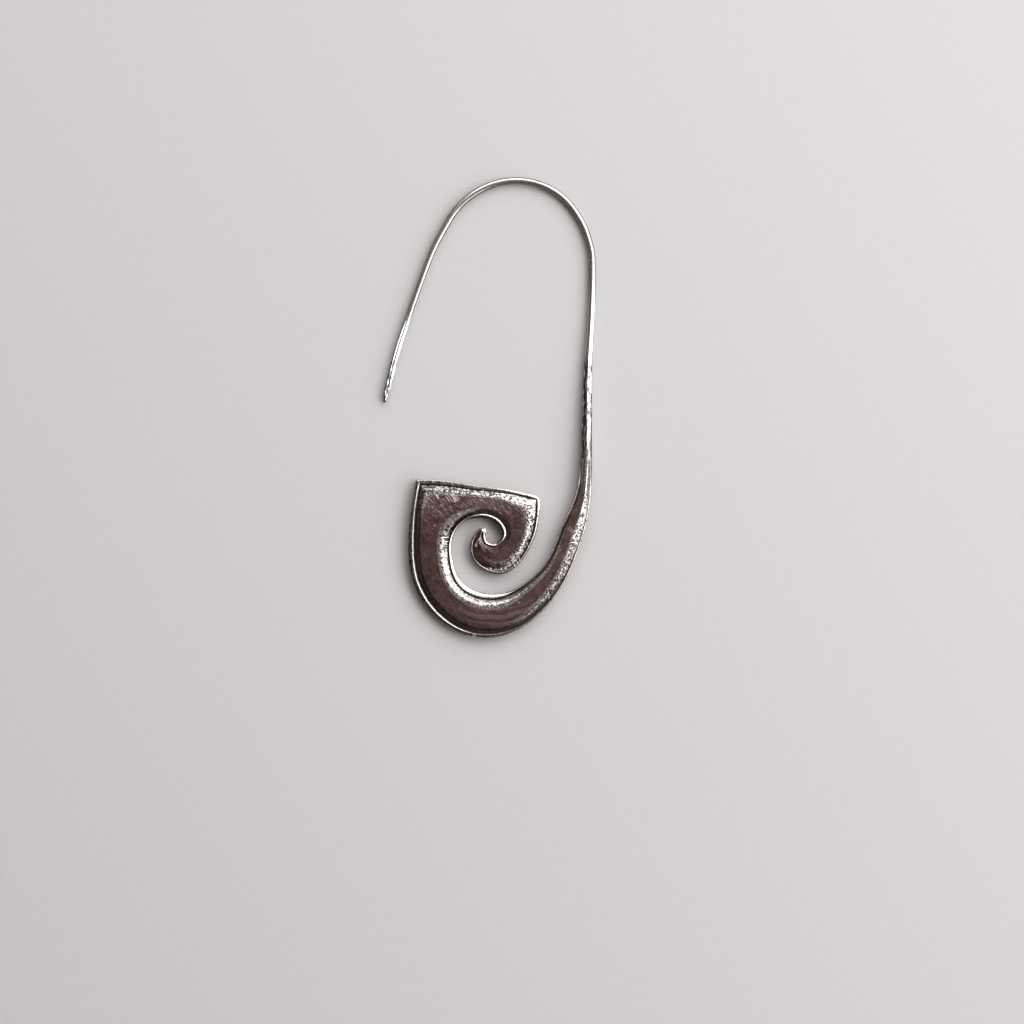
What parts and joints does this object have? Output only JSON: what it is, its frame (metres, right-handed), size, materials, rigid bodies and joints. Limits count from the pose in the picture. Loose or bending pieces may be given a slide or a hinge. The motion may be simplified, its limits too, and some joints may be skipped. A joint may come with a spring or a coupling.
{
  "type": "spiral hook earring",
  "caption": "Long ear wire whose limb thickens into a flat spiral plate with a raised border, a groove and a domed face; lies on its flat back.",
  "frame": {"origin": "middle of the whole piece's outline, on the plane of its flat back", "axes": "+Z out of the domed front, +Y to the top of the ear wire as worn, +X to the limb's side"},
  "size_m": [0.0298, 0.0646, 0.0019],
  "materials": {
    "antiqued_silver": "satin"
  },
  "bodies": {
    "root": {"spiral_ear_hook": "antiqued_silver"}
  },
  "joints": []
}
